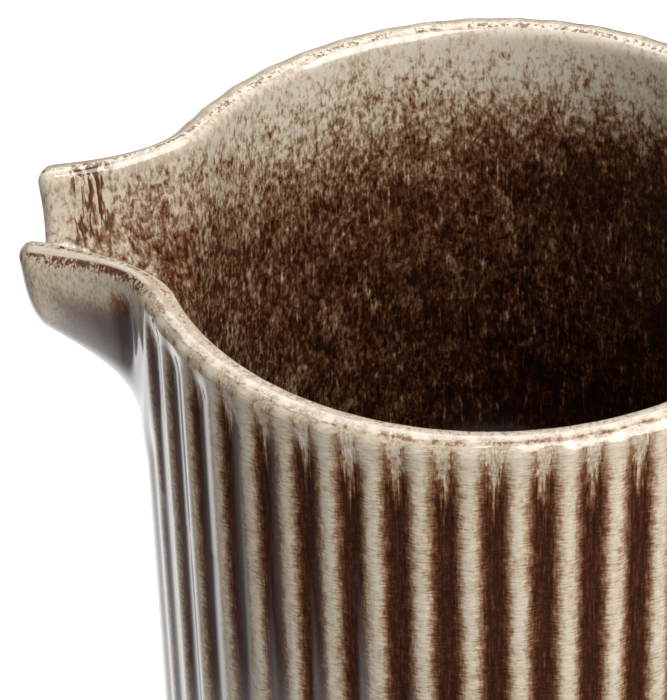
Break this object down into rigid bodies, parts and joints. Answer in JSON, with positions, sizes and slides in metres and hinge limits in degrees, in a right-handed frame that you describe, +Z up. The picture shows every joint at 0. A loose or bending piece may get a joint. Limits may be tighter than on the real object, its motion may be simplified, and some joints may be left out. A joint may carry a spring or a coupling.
{
  "type": "jug",
  "caption": "Straight stoneware jug with upright ribs, an open folded pouring lip at the rim, a strap handle opposite it and a bare foot ring.",
  "frame": {"origin": "Centre of the foot ring's standing face, on the axis of the body", "axes": "+Z up, the pouring lip points along -X and the handle along +X, Y across"},
  "size_m": [0.1556, 0.104, 0.165],
  "materials": {
    "clay": "bare fired stoneware, matt",
    "slip": "fired slip, matt",
    "outer_glaze": "glossy reactive glaze, cream on the ridges and dark brown in the flutes",
    "liner_glaze": "glossy reactive glaze, cream streaks on dark brown"
  },
  "bodies": {
    "root": {"fluted_wall": "clay", "floor_disc": "clay", "foot_ring": "clay", "pouring_lip": "clay", "handle": "clay", "luting_slip": "slip", "outer_glaze": "outer_glaze", "liner_glaze": "liner_glaze", "lip_glaze": "outer_glaze", "handle_glaze": "outer_glaze"}
  },
  "joints": []
}
